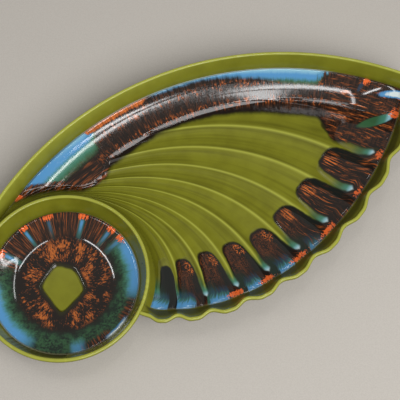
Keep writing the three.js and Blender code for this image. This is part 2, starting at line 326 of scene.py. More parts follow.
# Shell tree: raises a flat plan to the fluted floor and the rolled lip, and closes it with an underside. The
# floor is a shallow dish, banked up at its edges and at the well, with a sharp ridge between its flutes.
shell_tree, given, sizes = sized_tree("fluted shell", [
    "Floor Height", "Crease Height", "Shoulder Height", "Apron Length", "Bank Length", "Shoulder Slope",
    "Scallops", "Ridge Rise", "Level Rise", "Lip Height", "Lip Rounding", "Top Lift", "Edge Lift", "Under Lift",
    "Under Rise"])


def plan_reading(name):
    node = node_of(shell_tree, "GeometryNodeInputNamedAttribute", {"Name": name}, data_type="FLOAT")
    return Field(shell_tree, node.outputs["Attribute"])


apron = (plan_reading("reach") / sizes["Apron Length"]).fall()
bank = (plan_reading("bank") / sizes["Bank Length"]).fall()
shoulder = (plan_reading("ring") / sizes["Shoulder Slope"]).fall()
dish = lerp(sizes["Floor Height"], sizes["Crease Height"], apron + bank - apron * bank)
dish = lerp(dish, sizes["Shoulder Height"], shoulder)
flute = plan_reading("flute")
ridge = flute.math("ROUND").math("MAXIMUM", 1).math("MINIMUM", sizes["Scallops"] - 1)
crest = ((flute - ridge).abs() * 2).fall() * (1 - plan_reading("fade")) * (1 - shoulder)
swell = plan_reading("swell")
floor = dish + crest * lerp(sizes["Ridge Rise"], sizes["Level Rise"], swell)
lip_shoulder = sizes["Lip Height"] - sizes["Lip Rounding"]
top = (lerp(floor, lip_shoulder, plan_reading("wall")) + sizes["Lip Rounding"] * plan_reading("roll")
       + lerp(sizes["Edge Lift"], sizes["Top Lift"], swell))
under = dish + crest * sizes["Under Rise"] + sizes["Under Lift"]
under = lerp(under, lip_shoulder - sizes["Lip Rounding"], plan_reading("out").squared())

raised = node_of(shell_tree, "GeometryNodeExtrudeMesh", {
    "Mesh": given["Geometry"], "Offset Scale": 0.0, "Individual": False}, mode="FACES")
level = node_of(shell_tree, "GeometryNodeSwitch", {
    "Switch": raised.outputs["Top"], "False": under, "True": top}, input_type="FLOAT").outputs[0]
spot = node_of(shell_tree, "GeometryNodeInputPosition", {}).outputs[0]
flat_x, flat_y = list(node_of(shell_tree, "ShaderNodeSeparateXYZ", {0: spot}).outputs)[:2]
halves = []
for geometry, height in ((raised.outputs["Mesh"], level), (given["Geometry"], under)):
    place = node_of(shell_tree, "ShaderNodeCombineXYZ", {0: flat_x, 1: flat_y, 2: height})
    halves.append(node_of(shell_tree, "GeometryNodeSetPosition", {
        "Geometry": geometry, "Position": place.outputs[0]}))
turned_over = node_of(shell_tree, "GeometryNodeFlipFaces", {"Mesh": halves[1].outputs[0]})
together = node_of(shell_tree, "GeometryNodeJoinGeometry", {})
for half in (halves[0], turned_over):
    shell_tree.links.new(half.outputs[0], together.inputs[0])
closed = node_of(shell_tree, "GeometryNodeMergeByDistance", {
    "Geometry": together.outputs[0], "Distance": 1e-6})
finish_tree(shell_tree, closed.outputs[0], given)

# Foot tree: sweeps a strip with rounded edges along a closed path
foot_tree, given, sizes = sized_tree("foot ring", ["Width", "Height", "Rounding"])
half_height = node_of(foot_tree, "ShaderNodeCombineXYZ", {2: sizes["Height"] / 2})
lifted = node_of(foot_tree, "GeometryNodeSetPosition", {
    "Geometry": given["Geometry"], "Offset": half_height.outputs[0]})
path = node_of(foot_tree, "GeometryNodeMeshToCurve", {"Mesh": lifted.outputs[0]})
upright = node_of(foot_tree, "GeometryNodeSetCurveNormal", {"Curve": path.outputs[0]}, mode="Z_UP")
strip = node_of(foot_tree, "GeometryNodeCurvePrimitiveQuadrilateral", {
    "Width": sizes["Width"], "Height": sizes["Height"]})
rounded = node_of(foot_tree, "GeometryNodeFilletCurve", {
    "Curve": strip.outputs[0], "Count": 3, "Radius": sizes["Rounding"]}, mode="POLY")
swept = node_of(foot_tree, "GeometryNodeCurveToMesh", {
    "Curve": upright.outputs[0], "Profile Curve": rounded.outputs[0]})
finish_tree(foot_tree, swept.outputs[0], given)


def piece_of(mesh):
    piece = bpy.data.objects.new(mesh.name, mesh)
    bpy.context.scene.collection.objects.link(piece)
    return piece


# Makes a piece's modifiers part of its mesh
def applied(piece):
    depsgraph = bpy.context.evaluated_depsgraph_get()
    mesh = bpy.data.meshes.new_from_object(
        piece.evaluated_get(depsgraph), preserve_all_data_layers=True, depsgraph=depsgraph)
    piece.modifiers.clear()
    piece.data = mesh
    mesh.name = piece.name
    mesh.shade_smooth()
    mesh.set_sharp_from_angle(angle=math.radians(50))
    return piece


# Runs a plan or a path through a tree, with its sizes set by the identifiers of the tree's inputs
def grown(mesh, tree, material, **numbers):
    values = {
        "Floor Height": FLOOR_HEIGHT, "Crease Height": CREASE_HEIGHT, "Shoulder Height": SHOULDER_HEIGHT,
        "Apron Length": APRON_LENGTH, "Bank Length": BANK_LENGTH, "Shoulder Slope": SHOULDER_SLOPE,
        "Scallops": SCALLOPS, "Ridge Rise": RIDGE_RISE, "Level Rise": RIDGE_RISE, "Under Rise": RIDGE_RISE,
        "Lip Height": LIP_HEIGHT, "Lip Rounding": LIP_ROUNDING,
    }
    values.update({name.replace("_", " ").title(): number for name, number in numbers.items()})
    piece = piece_of(mesh)
    modifier = piece.modifiers.new(tree.name, "NODES")
    modifier.node_group = tree
    for item in tree.interface.items_tree:
        if item.in_out == "INPUT" and item.name in values:
            modifier[item.identifier] = float(values[item.name])
        elif item.name == "Material":
            modifier[item.identifier] = material
    return applied(piece)


# A closed shape turned about the axis of the well from a profile of radii and heights
def turned(name, profile, steps):
    radii, heights = np.array(profile).T
    turn = np.arange(steps) * 2 * np.pi / steps
    ring = np.stack([np.outer(np.cos(turn), radii), np.outer(np.sin(turn), radii)], -1) + WELL_AXIS
    points = np.concatenate([ring, np.broadcast_to(heights, ring.shape[:2])[..., None]], -1)
    start = np.arange(steps)[:, None] * len(profile) + np.arange(len(profile) - 1)
    after = np.roll(start, -1, axis=0)
    faces = np.stack([start, after, after + 1, start + 1], -1).reshape(-1, 4)
    mesh = bpy.data.meshes.new(name)
    mesh.from_pydata(points.reshape(-1, 3).tolist(), [], faces.tolist())
    piece = piece_of(mesh)
    weld = piece.modifiers.new("weld", "WELD")
    weld.merge_threshold = 1e-6
    return applied(piece)


def colour(red, green, blue):
    parts = np.array([red, green, blue]) / 255
    linear = np.where(parts <= 0.04045, parts / 12.92, ((parts + 0.055) / 1.055) ** 2.4)
    return (*linear.tolist(), 1.0)


# Colours laid one over the other, each by its share
def layered(tree, under, *coats):
    for share, over in coats:
        node = node_of(tree, "ShaderNodeMix", {}, data_type="RGBA")
        for socket, value in ((0, share), (6, under), (7, over)):
            connect(tree, value, node.inputs[socket])
        under = node.outputs[2]
    return under


def mottle(tree, vector, scale, detail=2.0, roughness=0.5, distortion=0.0):
    links = {"Vector": vector, "Scale": scale, "Detail": detail, "Roughness": roughness,
             "Distortion": distortion}
    return Field(tree, node_of(tree, "ShaderNodeTexNoise", links).outputs[0])


def vector_of(tree, *parts):
    return node_of(tree, "ShaderNodeCombineXYZ", dict(enumerate(parts))).outputs[0]


def surface_place(tree):
    return node_of(tree, "ShaderNodeTexCoord", {}).outputs["Object"]


# A place on the surface, in units of a size
def surface_reading(tree, name, size=1.0):
    return Field(tree, node_of(tree, "ShaderNodeAttribute", {}, attribute_name=name).outputs["Fac"]) / size


def glaze_group(name, *inputs):
    tree = bpy.data.node_groups.new(name, "ShaderNodeTree")
    for socket in inputs:
        tree.interface.new_socket(socket, in_out="INPUT", socket_type="NodeSocketFloat")
    tree.interface.new_socket("Color", in_out="OUTPUT", socket_type="NodeSocketColor")
    for socket in ("Roughness", "Height"):
        tree.interface.new_socket(socket, in_out="OUTPUT", socket_type="NodeSocketFloat")
    given = tree.nodes.new("NodeGroupInput").outputs
    made = tree.nodes.new("NodeGroupOutput").inputs
    return tree, given, made


# Olive glaze with faint clouds and pinholes. One input darkens it, for pooled glaze and for painted shade; the
# other yellows it, for glaze thinned over an edge and for painted highlights
OLIVE = colour(119, 120, 31)
OLIVE_CLOUD = colour(108, 108, 26)
OLIVE_POOL_AND_SHADE = colour(56, 53, 3)
OLIVE_THIN_AND_HIGHLIGHT = colour(168, 171, 70)
PINHOLE = colour(50, 44, 14)

olive_tree, given, made = glaze_group("olive glaze", "Thin And Highlight", "Pool And Shade")
place = surface_place(olive_tree)
clouds = mottle(olive_tree, place, 55, 3, 0.55).smooth(0.35, 0.7)
specks = node_of(olive_tree, "ShaderNodeTexVoronoi", {"Vector": place, "Scale": 42}).outputs
chance = Field(olive_tree, node_of(olive_tree, "ShaderNodeSeparateXYZ", {0: specks["Color"]}).outputs[0])
pinhole = Field(olive_tree, specks["Distance"]).smooth(0.055, 0.025) * chance.smooth(0.74, 0.78)
olive = layered(olive_tree, OLIVE, (clouds * 0.8, OLIVE_CLOUD), (given["Pool And Shade"], OLIVE_POOL_AND_SHADE),
                (given["Thin And Highlight"], OLIVE_THIN_AND_HIGHLIGHT), (pinhole * 0.7, PINHOLE))
connect(olive_tree, olive, made["Color"])
connect(olive_tree, 0.2 + clouds * 0.08, made["Roughness"])
connect(olive_tree, mottle(olive_tree, place, 420, 2) * 0.3 + mottle(olive_tree, place, 90, 1) - pinhole * 0.8,
        made["Height"])


def glaze_material(name):
    material = bpy.data.materials.new(name)
    material.use_nodes = True
    tree = material.node_tree
    shader = tree.nodes["Principled BSDF"]
    shader.inputs["IOR"].default_value = 1.52
    return material, tree, shader


def glaze_finish(tree, shader, hue, roughness, height, depth):
    connect(tree, hue, shader.inputs["Base Color"])
    connect(tree, roughness, shader.inputs["Roughness"])
    bump = node_of(tree, "ShaderNodeBump", {"Height": height, "Strength": 0.35, "Distance": depth})
    connect(tree, bump.outputs[0], shader.inputs["Normal"])


# The coat pools under the scalloped lip and in the creases, where painted shade darkens it further. It thins on
# the lip, whose bright line is partly a painted highlight, carries a painted sheen on the leading wall,
# strongest towards the well, and is wiped off the feet
BARE_CLAY = colour(206, 188, 156)
CLAY_STAIN = colour(170, 146, 110)

clay_material, tree, shader = glaze_material("glazed clay")
shader.inputs["Specular IOR Level"].default_value = 0.3
place = surface_place(tree)
level = Field(tree, node_of(tree, "ShaderNodeSeparateXYZ", {0: place}).outputs[2]) / MM
wobble = mottle(tree, place, 130, 2)
drawn_out = node_of(tree, "ShaderNodeMapping", {"Vector": place, "Scale": (90, 90, 12)})
runs = mottle(tree, drawn_out.outputs[0], 1.0, 2)
# The lip's bright line: partly glaze thinned over the edge, partly a painted highlight
lip = level.smooth(34.8, 35.9) * (0.55 + 0.4 * wobble)
scalloped = surface_reading(tree, "scalloped")
# Darker in the creases and down the scalloped walls: partly pooled glaze, partly painted shade where those
# walls face away from the light
pool_and_shade = level.smooth(24, 19.5) * level.smooth(12, 17) * 0.25 + scalloped * level.smooth(33.5, 27.5) * 0.8
leading = surface_reading(tree, "wall") * (1 - scalloped)
# The leading wall is lightened a little all along and more towards the well end, where the extra lightening is
# a painted sheen
thin_and_highlight = lip + leading * (0.12 + surface_reading(tree, "along", MM).smooth(280, 60) * 0.4) * (0.6 + 0.8 * wobble)
coat = node_of(tree, "ShaderNodeGroup", {}, node_tree=olive_tree)
connect(tree, thin_and_highlight.math("MINIMUM", 1), coat.inputs["Thin And Highlight"])
connect(tree, (pool_and_shade + runs.smooth(0.5, 0.8) * 0.12).math("MINIMUM", 1), coat.inputs["Pool And Shade"])
bare = (level + (wobble - 0.5) * 1.4).smooth(1.3, 0.7)
clay = layered(tree, BARE_CLAY, (mottle(tree, place, 300, 4, 0.7).smooth(0.3, 0.8), CLAY_STAIN))
hue = layered(tree, coat.outputs["Color"], (bare, clay))
roughness = bare * 0.6 + scalloped * level.smooth(34.5, 31) * 0.3 + 0.15
glaze_finish(tree, shader, hue, roughness, coat.outputs["Height"], 0.25 * MM)

# Tray of the casting: floor, wall and rolled lip, kept just inside the frame's own faceted rim
RIM_STEPS = 12
RIM_TRIM = 0.3 * MM

runs = 1 - (1 - np.linspace(0, 1, 61)) ** 2
flutes = np.concatenate([[-1, -0.5], np.linspace(0, SCALLOPS, 161)])
rim = np.arange(1, RIM_STEPS + 1)
run, scallop_step, flute, leading_step = np.broadcast_arrays(
    np.concatenate([runs, np.ones(RIM_STEPS)])[:, None],
    np.concatenate([np.zeros(len(runs)), rim])[:, None],
    np.concatenate([flutes, np.full(RIM_STEPS, SCALLOPS)])[None],
    np.concatenate([np.zeros(len(flutes)), rim])[None],
)
base = floor_point(flute, run)
step = np.maximum(leading_step, scallop_step)
turn = (1 + (leading_step - scallop_step) / np.maximum(step, 1)) / 2
leading_width = lerp(LEADING_RADIUS - leading_crease_radius, TAIL_WALL, tail_share(degrees_of(base)))
width = lerp(scallop_wall_width(flute), leading_width, turn)
width = np.maximum(width - RIM_TRIM, TAIL_WALL)
direction = unit(lerp(outward(flute), unit(base - leading_centre), turn[..., None]))
lip_width = np.minimum(LIP_WIDTH, width / 2)
wall = np.minimum(2 * step / RIM_STEPS, 1)
lip_turn = np.pi * np.clip(2 * step / RIM_STEPS - 1, 0, 1)
offset = wall * (width - lip_width) + lip_width * (1 - np.cos(lip_turn)) / 2
tray_plan = plan_mesh(
    "tray", (base + direction * offset[..., None]).reshape(-1, 2), flute.ravel(), grid_faces(*flute.shape),
    base=base.reshape(-1, 2), wall=wall, roll=np.sin(lip_turn), out=offset / width,
    scalloped=np.where(step > 0, 1 - turn, 0))
casting = grown(tray_plan, shell_tree, clay_material, under_lift=-WALL, under_rise=0)


# Well of the casting, with its foot ring
def well_height(radius):
    return lerp(WELL_FLOOR_HEIGHT, CREASE_HEIGHT, (radius / WELL_CREASE_RADIUS) ** 2)


foot_inner = WELL_FOOT_RADIUS - FOOT_WIDTH / 2
foot_outer = WELL_FOOT_RADIUS + FOOT_WIDTH / 2
profile = [(radius, well_height(radius) - WALL) for radius in np.linspace(0, foot_inner, 16)]
profile += [(foot_inner, FOOT_ROUNDING), (foot_inner + FOOT_ROUNDING, 0)]
profile += [(foot_outer - FOOT_ROUNDING, 0), (foot_outer, FOOT_ROUNDING)]
profile += [(radius, well_height(radius) - WALL) for radius in np.linspace(foot_outer, WELL_CREASE_RADIUS, 8)]
for share in np.linspace(0.1, 1, 10):
    under = lerp(CREASE_HEIGHT - WALL, LIP_HEIGHT - 2 * LIP_ROUNDING, share ** 2)
    profile.append((lerp(WELL_CREASE_RADIUS, WELL_RADIUS, share), under))
for turn in np.linspace(0, math.pi, 13):
    radius = WELL_RADIUS - LIP_WIDTH / 2 * (1 - math.cos(turn))
    profile.append((radius, LIP_HEIGHT - LIP_ROUNDING * (1 - math.sin(turn))))
for share in np.linspace(0, 1, 10)[1:]:
    height = lerp(LIP_HEIGHT - LIP_ROUNDING, CREASE_HEIGHT, share)
    profile.append((lerp(WELL_RADIUS - LIP_WIDTH, WELL_CREASE_RADIUS, share), height))
profile += [(radius, well_height(radius)) for radius in np.linspace(WELL_CREASE_RADIUS, 0, 30)[1:]]
well = turned("well", profile, 192)

# Foot ring under the tray
FOOT_STATIONS = 96

turns = np.arange(FOOT_STATIONS) * 2 * np.pi / FOOT_STATIONS
foot_line = floor_point(5.2 + 3.4 * np.cos(turns), 0.83 - 0.11 * np.sin(turns))
links = [(place, (place + 1) % FOOT_STATIONS) for place in range(FOOT_STATIONS)]
foot = grown(plan_mesh("foot_ring", foot_line, flute_at(foot_line), edges=links), foot_tree, clay_material,
             width=FOOT_WIDTH, height=FLOOR_HEIGHT - WALL + FOOT_ROOT, rounding=FOOT_ROUNDING)

for part in (well, foot):
    union = casting.modifiers.new("union", "BOOLEAN")
    union.operation = "UNION"
    union.solver = "EXACT"
    union.object = part
    applied(casting)
    bpy.data.objects.remove(part)
casting.name = "clay_casting"
casting.data.materials.clear()
casting.data.materials.append(clay_material)
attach(casting, "root")
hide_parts("clay_body")

# Tray lining
# A second, thicker coat of olive glaze, poured into the tray and swilled round. Each ridge carries a bright
# line, partly thinned glaze and partly painted highlight, and the coat takes up the colours of the running
# glazes where these are let down over it.

BLACK_BROWN = colour(27, 20, 16)
BLACK_GREEN = colour(21, 27, 24)
BROWN = colour(64, 39, 25)
RUST = colour(138, 72, 32)
ORANGE = colour(206, 108, 44)
BLOT = colour(232, 106, 48)
HALO = colour(46, 46, 12)
GREEN = colour(50, 88, 56)
DEEP_GREEN = colour(22, 40, 30)
TEAL = colour(66, 126, 106)
DEEP_BLUE = colour(30, 58, 78)
SKY = colour(80, 143, 194)
PALE_SKY = colour(150, 198, 212)
WHITE_SKY = colour(216, 228, 230)
PALE_EDGE = colour(158, 152, 118)

pour_tree, given, made = glaze_group("tray pour")
place = surface_place(pour_tree)
flute = surface_reading(pour_tree, "flute")
fade = surface_reading(pour_tree, "fade")
bearing = surface_reading(pour_tree, "bearing")
reach, bank, along, ring = (surface_reading(pour_tree, name, MM) for name in ("reach", "bank", "along", "ring"))
ragged = mottle(pour_tree, place, 170, 3, 0.6) - 0.5
fine = mottle(pour_tree, place, 620, 3, 0.65) - 0.5
curls = (mottle(pour_tree, place, 250, 1, 0.5, 1.8) - 0.5).abs().smooth(0.06, 0.015)

# Bare lining: bright ridges, partly thinned glaze and partly painted highlight, faint darker bands that follow
# the flutes, and painted shade beside the well ring, heavier on its lower right side
to_ridge = (flute - flute.math("ROUND").math("MAXIMUM", 1).math("MINIMUM", SCALLOPS - 1)).abs() * 33
crest = (to_ridge.smooth(3.4, 0.3) * 0.5 + to_ridge.smooth(1.4, 0.1) * 0.3) * (1 - fade)
bands = mottle(pour_tree, vector_of(pour_tree, flute * 4.5, reach * 0.006, 0.0), 1.0, 3)
lining = node_of(pour_tree, "ShaderNodeGroup", {}, node_tree=olive_tree)
connect(pour_tree, crest, lining.inputs["Thin And Highlight"])
# Painted shade on the floor beside the well ring, heavier on its lower right side
painted_shade_beside_ring = ring.smooth(20, 2) * (0.15 + bearing.smooth(60, -10) * 0.45)
connect(pour_tree, bands.smooth(0.42, 0.72) * 0.45 + painted_shade_beside_ring, lining.inputs["Pool And Shade"])

# Tongues: what shows on the ridges between two fingers, paler towards the crease. Fingers and tongues lean
# towards the tip of the tray, the more so the nearer they are to it and to the crease.
FINGER_LEAN = 0.05
LEAN_START = 3.6
CREASE_LEAN = 0.1
FIRST_SHIFT = 0.2

lean = (flute - LEAN_START) * FINGER_LEAN + reach.smooth(24, 6) * CREASE_LEAN
shifted = flute - lean
count = shifted.math("FLOOR")
first = shifted.smooth(1.0, 0.99)
middle = shifted - count - 0.5 - first * FIRST_SHIFT
tongue_hue = layered(
    pour_tree, lining.outputs["Color"], (reach.smooth(32, 20) * (0.85 - crest * 0.8), GREEN),
    (reach.smooth(21, 14) * 0.9, TEAL), (reach.smooth(15, 10) * 0.9, PALE_SKY),
    (reach.smooth(12, 8) * 0.7, WHITE_SKY))

# Fingers: dark at the rim, with hair-thin streaks along them and orange curls near the tip
chance = Field(pour_tree, node_of(
    pour_tree, "ShaderNodeTexWhiteNoise", {"W": count}, noise_dimensions="1D").outputs[0])
finger_length = 47 + chance * 4 + shifted.smooth(7.99, 8.0) * 15 - first * 8
half_width = 0.37 + reach.smooth(36, 18) * 0.02 + reach.smooth(12, 3) * 0.22 - first * 0.09
across = middle / half_width
finger = 1 - across.abs() ** 2.6 - (reach / finger_length) ** 8 + ragged * 0.35
in_finger = finger.smooth(-0.3, 0.12)
finger_core = finger.smooth(0.06, 0.4)
streak = mottle(pour_tree, vector_of(pour_tree, across * 4.5, reach * 0.05, count * 3.7), 1.0, 3, 0.6, 0.5)
hair = mottle(pour_tree, vector_of(pour_tree, across * 11, reach * 0.06, count * 5.3), 1.0, 3, 0.6, 0.5)
upper = flute.smooth(4.5, 6.5)
cluster = (1 - ((middle - 0.2 + upper * 0.2) / 0.18).squared() - ((reach - finger_length + 9) / 8).squared()
           - first * 2)
cluster_lines = lerp(curls, hair.smooth(0.49, 0.58), upper) * cluster.smooth(-0.2, 0.4)
dark_side = middle.smooth(0.1, 0.26) * reach.smooth(9, 16)
base_side = across.smooth(0.0, -0.7) * reach.smooth(27, 13) * flute.smooth(6, 5)
finger_hue = layered(
    pour_tree, BLACK_BROWN, (streak.smooth(0.46, 0.7) * finger_core * 0.8, BROWN),
    (hair.smooth(0.54, 0.62) * finger_core * (0.2 + upper * 0.5) * (1 - first), RUST),
    (hair.smooth(0.6, 0.68) * finger_core * upper * 0.6, ORANGE),
    (curls * finger_core * (1 - upper) * (1 - first) * reach.smooth(14, 26) * 0.35, RUST),
    (dark_side.math("MAXIMUM", first) * 0.85, BLACK_GREEN), (base_side, DEEP_GREEN),
    (base_side * reach.smooth(18, 7) * flute.smooth(2.6, 1.8) * 0.6, TEAL),
    (cluster_lines * finger_core * cluster.smooth(-0.2, 0.7), ORANGE))

# Leading band: a broad pour under the leading edge, with a lobe beside the well
lobe = along.smooth(100, 72)
wave = mottle(pour_tree, vector_of(pour_tree, along * 0.05, 2.2, 0.0), 1.0, 2) - 0.5
width = 37.5 + along.smooth(150, 90) * 3 + along.smooth(180, 330) * 8 + along.smooth(326, 352) * 22 + wave * 5
lobe_edge = (bearing - 72.5) * (ring + 75) * 0.01745
ring_edge = ring - 13.5 - ((bearing - 73) / 12).fall() * 15
band = (width - bank).math("SMOOTH_MAX", lobe_edge, 5.0).math("SMOOTH_MIN", ring_edge, 5.0) + ragged * 2.5
in_band = band.smooth(-1.2, 1.6)
band_core = band.smooth(1.5, 7)
stripe = mottle(pour_tree, vector_of(pour_tree, along * 0.75, bank * 0.09, 4.4), 1.0, 3, 0.6, 0.6)
stream = mottle(pour_tree, vector_of(pour_tree, bank * 0.6, along * 0.05, 8.1), 1.0, 3, 0.6, 0.6)
blotch = mottle(pour_tree, vector_of(pour_tree, along * 0.28, bank * 0.2, 1.3), 1.0, 3, 0.65, 0.9)
grain = lerp(stripe, stream, lobe)
tip_zone = along.smooth(330, 345)
tip_hair = mottle(pour_tree, vector_of(pour_tree, flute * 20, reach * 0.07, 7.7), 1.0, 3, 0.6, 0.9)
mottled = bank.smooth(7, 10) * bank.smooth(18, 14) + bank.smooth(25, 28) * bank.smooth(36, 32)
mottled = mottled * (1 - lobe) * (1 - tip_zone)
band_hue = layered(
    pour_tree, BLACK_BROWN, (grain.smooth(0.42, 0.68) * band_core * 0.9, BROWN),
    (grain.smooth(0.56, 0.66) * band_core * (1 - tip_zone) * (0.2 + lobe * 0.4), RUST),
    (tip_hair.smooth(0.5, 0.62) * tip_zone * 0.5, RUST), (tip_hair.smooth(0.6, 0.68) * tip_zone * 0.7, ORANGE),
    ((blotch * 0.6 + stripe * 0.4).smooth(0.5, 0.58) * mottled * band_core * 0.6, RUST),
    ((blotch * 0.6 + stripe * 0.4).smooth(0.54, 0.62) * mottled * band_core * 0.6, ORANGE))

# Colours that break along the leading crease
shore = along + ragged * 16 + (stripe - 0.5) * 20
left_zone = shore.smooth(-4, 8) * shore.smooth(106, 84)
right_zone = shore.smooth(146, 168) * shore.smooth(338, 322)
blue_width = left_zone * 12 + right_zone * (4 + 8 * along.smooth(205, 290)) + ragged * 3 + (stripe - 0.5) * 5
green_width = blue_width + left_zone * 12 + along.smooth(262, 300) * right_zone * 5
blue_zone = left_zone + right_zone
orange_zone = along.smooth(84, 92) * along.smooth(164, 148)
orange_edge = 6.4 * orange_zone - bank + ragged * 3 + (stripe - 0.5) * 5
stream_width = 6 + 5 * along.smooth(40, 80)
beside_well = (ring_edge + ragged * 4).smooth(stream_width + 3, stream_width) * along.smooth(104, 88)
tail_blot = (0.8 - (along / 7).squared() - ((bank - 4) / 5).squared() + ragged * 3).smooth(0.0, 0.3)
band_hue = layered(
    pour_tree, band_hue, ((green_width - bank).smooth(-1.5, 5) * blue_zone, GREEN),
    ((green_width - bank).smooth(2, 9) * blue_zone, TEAL),
    ((blue_width - bank).smooth(-1.5, 3.5) * blue_zone, SKY),
    ((blue_width * 0.45 - bank).smooth(-2, 2.5)
     * (right_zone * 0.75 + along.smooth(40, 80) * left_zone * 0.5), PALE_SKY),
    (orange_edge.smooth(-0.5, 0.8) * orange_zone, RUST),
    (orange_edge.smooth(0.2, 1.4) * stripe.smooth(0.4, 0.55) * orange_zone, ORANGE),
    (beside_well, BLACK_BROWN), (beside_well * stream.smooth(0.38, 0.56), BROWN),
    (beside_well * stream.smooth(0.5, 0.6) * 0.8, RUST), (tail_blot, BLOT))

# Green tongue of the last ridge, which the band leaves open, and the colours at the tip: an orange blot with a
# blue tail, and a sky-blue patch whose white core is a painted highlight
last_tongue = (1 - ((flute - 9.4 + reach * 0.0174) / 0.155).squared() - ((reach - 19) / 16).squared()
               + ragged * 0.3)
last_hue = layered(pour_tree, GREEN, (reach.smooth(20, 11), TEAL), (reach.smooth(12, 7), PALE_SKY))
tip_tail = 1 - ((along - 369 + bank * 0.25) / 2.4).squared() - ((bank - 10) / 6).squared() + ragged * 0.8
tip_blot = 0.7 - ((along - 371) / 4.5).squared() - ((bank - 3) / 4).squared() + fine * 4 + (stripe - 0.5) * 5
# Sky-blue patch at the tip; its white core is a painted highlight
tip_sky_and_highlight = (1 - ((along - 402) / 16).squared() - ((bank - 9 + (along - 400) * 0.25) / 4).squared() + ragged * 0.8
           + (stripe - 0.5) * 0.8)

# Patches at the scalloped crease: blue in the lower flutes, orange beside them and at the tongues' tips
lower = flute.smooth(5.9, 5.2)
patch_across = (middle + 0.05 + flute.smooth(2.6, 1.0) * 0.25) / (0.24 + flute.smooth(3.2, 2.0) * 0.1)
patch = (1 - patch_across.abs() ** 3 + (hair - 0.5) * 2.4 + ragged * 0.8).smooth(0.0, 0.5) * lower
patch_reach = reach + (hair - 0.5) * 16 - 2 * flute.smooth(3, 1)
blot_across = (middle + 0.14).math("FRACT") - 0.5
low_blot = 0.7 - (blot_across / 0.28).squared() - ((reach - 2.8) / 3.2).squared() + fine * 4 + (hair - 0.5) * 3
high_blot = (0.6 - ((0.5 - middle.abs()) / 0.15).squared() - ((reach - 3.2) / 3.4).squared() + fine * 4
             + (hair - 0.5) * 6)
last_blot = (0.7 - ((flute - 9.38) / 0.13).squared() - ((reach - 3.5) / 5).squared() + fine * 4
             + (tip_hair - 0.5) * 5)
# A painted highlight: a white line along the top of the leading crease
crease_highlight_line = (bank + fine * 2).smooth(2.4, 1.2) * along.smooth(70, 110) * along.smooth(345, 325)
crease_line = (reach.math("MINIMUM", bank) + fine * 1.2).smooth(1.5, 0.6)
hue = layered(
    pour_tree, tongue_hue, (finger.smooth(-0.4 - reach.smooth(30, 15) * 0.2, 0.05) * 0.85, HALO),
    (in_finger, finger_hue),
    (band.smooth(-4, 0.5) * 0.8, HALO), (in_band, band_hue),
    (last_tongue.smooth(-0.3, 0.1) * 0.7, BLACK_GREEN), (last_tongue.smooth(0.0, 0.5), last_hue),
    (patch * patch_reach.smooth(16, 8) * 0.9, DEEP_BLUE), (patch * patch_reach.smooth(10, 5) * 0.6, TEAL),
    (patch * patch_reach.smooth(6.5, 2.5) * 0.9, SKY),
    (low_blot.smooth(0.0, 0.3) * flute.smooth(2.2, 2.7) * flute.smooth(6.4, 6.1), BLOT),
    (high_blot.smooth(0.0, 0.3) * flute.smooth(5.6, 5.9) * flute.smooth(9.0, 8.8), BLOT),
    (last_blot.smooth(0.0, 0.3), BLOT), (tip_tail.smooth(0.0, 0.6) * 0.8, DEEP_BLUE),
    (tip_blot.smooth(0.0, 0.3), BLOT), (tip_sky_and_highlight.smooth(-0.4, 0.3), SKY), (tip_sky_and_highlight.smooth(0.3, 0.8), WHITE_SKY),
    (crease_line * 0.25, PALE_EDGE), (crease_highlight_line * 0.6, WHITE_SKY))
connect(pour_tree, hue, made["Color"])
poured = in_finger.math("MAXIMUM", in_band)
connect(pour_tree, 0.3 - poured * 0.24, made["Roughness"])
lining_height = Field(pour_tree, lining.outputs["Height"])
connect(pour_tree, lining_height + poured * (ragged * 0.8 + fine * 0.3), made["Height"])


def poured_material(name, group, depth, gloss=0.5):
    material, tree, shader = glaze_material(name)
    shader.inputs["Specular IOR Level"].default_value = gloss
    pour = node_of(tree, "ShaderNodeGroup", {}, node_tree=group)
    glaze_finish(tree, shader, pour.outputs["Color"], pour.outputs["Roughness"], pour.outputs["Height"], depth)
    return material


LINING_RISE = 0.9 * MM
LINING_SINK = 0.3 * MM

lining_runs = lerp(tail_run + 0.002, 1, 1 - (1 - np.linspace(0, 1, 110)) ** 1.6)
run, flute = np.meshgrid(lining_runs, np.linspace(0, SCALLOPS, 261), indexing="ij")
points = floor_point(flute, run)
bearing = degrees_of(points)
swell = (smoothstep(length(points - crease_point(flute)), 0, 1 * MM)
         * smoothstep(leading_crease_radius - length(points - leading_centre), 0, 1 * MM)
         * smoothstep(length(points) - inner_reach(bearing), 0, 6 * MM)
         * smoothstep(TAIL_START_ANGLE - bearing, 0, 5))
lining_plan = plan_mesh(
    "tray_lining", points.reshape(-1, 2), flute.ravel(), grid_faces(*flute.shape), swell=swell)
tray_lining = grown(lining_plan, shell_tree, poured_material("olive tray lining", pour_tree, 0.2 * MM, 0.1),
                    top_lift=LINING_RISE, edge_lift=-0.02 * MM, under_lift=-LINING_SINK)
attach(tray_lining, "root")
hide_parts("tray_lining_glaze")

# Well lining
# The same olive glaze, poured into the dip well. The drip covers it but for a bare window like a rounded kite
# at the middle, where the two glazes meet in a soft dark edge.

WELL_WINDOW = np.array([(-8.5, 15), (6, 11.5), (14.5, -5), (-2, -24), (-19, -2.5)]) * MM
AMBER = colour(176, 96, 40)

